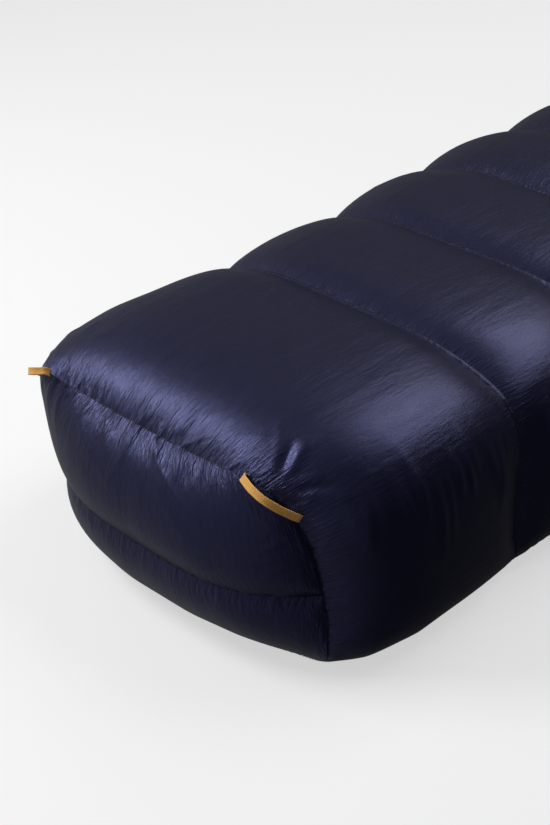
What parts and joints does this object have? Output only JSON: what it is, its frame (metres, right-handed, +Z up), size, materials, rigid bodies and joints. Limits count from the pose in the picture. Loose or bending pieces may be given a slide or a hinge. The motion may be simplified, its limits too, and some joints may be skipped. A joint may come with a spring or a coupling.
{
  "type": "camp quilt",
  "caption": "Down camp quilt lying closed on the ground, with a sewn foot box, webbing loops at the foot, baffled chambers, ground straps under a slit and a drawcord neck.",
  "frame": {"origin": "on the ground, below the middle of the quilt's length and width", "axes": "+Y from the foot end to the neck, +X to the right as seen from the foot end looking along +Y, +Z up"},
  "size_m": [0.5842, 1.975, 0.256],
  "materials": {
    "shell_fabric": "glossy calendered ripstop nylon",
    "liner_fabric": "soft matt nylon taffeta",
    "down": "loose down clusters",
    "baffle_mesh": "fine mesh",
    "hem_fabric": "doubled shell nylon, topstitched",
    "binding_tape": "folded woven tape",
    "elastic_cord": "braided sheath",
    "ochre_webbing": "narrow woven webbing",
    "black_webbing": "woven webbing",
    "label_cloth": "woven, unprinted",
    "snap_metal": "satin",
    "black_plastic": "fine moulded grain"
  },
  "bodies": {
    "quilt": {"shell_upper": "shell_fabric", "shell_ground_panel": "shell_fabric", "liner": "liner_fabric", "down_fill_01": "down", "down_fill_02": "down", "down_fill_03": "down", "down_fill_04": "down", "down_fill_05": "down", "down_fill_06": "down", "down_fill_07": "down", "down_fill_08": "down", "down_fill_09": "down", "baffle_wall_01": "baffle_mesh", "baffle_wall_02": "baffle_mesh", "baffle_wall_03": "baffle_mesh", "baffle_wall_04": "baffle_mesh", "baffle_wall_05": "baffle_mesh", "baffle_wall_06": "baffle_mesh", "baffle_wall_07": "baffle_mesh", "baffle_wall_08": "baffle_mesh", "foot_end_panel": "shell_fabric", "foot_end_fill_lower": "down", "foot_end_fill_upper": "down", "foot_end_baffle": "baffle_mesh", "foot_end_liner": "liner_fabric", "edge_binding_left": "binding_tape", "edge_binding_right": "binding_tape", "neck_hem": "hem_fabric", "neck_drawcord": "elastic_cord", "neck_cord_end": "black_plastic", "neck_snap_tab": "black_webbing", "neck_snap_stud": "snap_metal", "care_label": "label_cloth", "ground_strap_1_buckle_socket": "black_plastic", "ground_strap_1_webbing_left": "black_webbing", "ground_strap_1_webbing_right": "black_webbing", "ground_strap_2_buckle_socket": "black_plastic", "ground_strap_2_webbing_left": "black_webbing", "ground_strap_2_webbing_right": "black_webbing"},
    "cord_lock": {"neck_cord_lock_body": "black_plastic", "neck_cord_lock_spring": "snap_metal"},
    "cord_lock_button": {"neck_cord_lock_button": "black_plastic"},
    "snap_socket": {"neck_snap_socket": "snap_metal", "neck_snap_cap": "black_plastic"},
    "buckle_tongue_1": {"ground_strap_1_buckle_tongue": "black_plastic"},
    "buckle_tongue_2": {"ground_strap_2_buckle_tongue": "black_plastic"},
    "foot_loop_right": {"foot_loop_right": "ochre_webbing"},
    "foot_loop_left": {"foot_loop_left": "ochre_webbing"}
  },
  "joints": [
    {"name": "foot_loop_right_flop", "type": "hinge", "parent": "quilt", "child": "foot_loop_right", "pos_m": [0.16095, -0.91684, 0.18762], "axis": [-0.8321, -0.1628, 0.5301], "range_deg": [-30, 30], "stiffness_Nm_per_rad": 0.004},
    {"name": "foot_loop_left_flop", "type": "hinge", "parent": "quilt", "child": "foot_loop_left", "pos_m": [-0.16095, -0.91684, 0.18762], "axis": [0.8321, -0.1628, 0.5301], "range_deg": [-30, 30], "stiffness_Nm_per_rad": 0.004},
    {"name": "cord_lock_slide", "type": "slide", "parent": "quilt", "child": "cord_lock", "axis": [1, 0, 0], "range_m": [-0.006, 0.005]},
    {"name": "cord_lock_press", "type": "slide", "parent": "cord_lock", "child": "cord_lock_button", "axis": [0, 1, 0], "range_m": [0, 0.0034], "stiffness_N_per_m": 500, "springref_m": -0.003, "deforming": ["neck_cord_lock_spring"]},
    {"name": "neck_snap_lift", "type": "slide", "parent": "quilt", "child": "snap_socket", "axis": [0, 0, 1], "range_m": [0, 0.01], "deforming": ["neck_snap_tab"]},
    {"name": "buckle_1_release", "type": "slide", "parent": "quilt", "child": "buckle_tongue_1", "axis": [1, 0, 0], "range_m": [0, 0.019], "deforming": ["ground_strap_1_webbing_right"]},
    {"name": "buckle_2_release", "type": "slide", "parent": "quilt", "child": "buckle_tongue_2", "axis": [1, 0, 0], "range_m": [0, 0.019], "deforming": ["ground_strap_2_webbing_right"]}
  ]
}
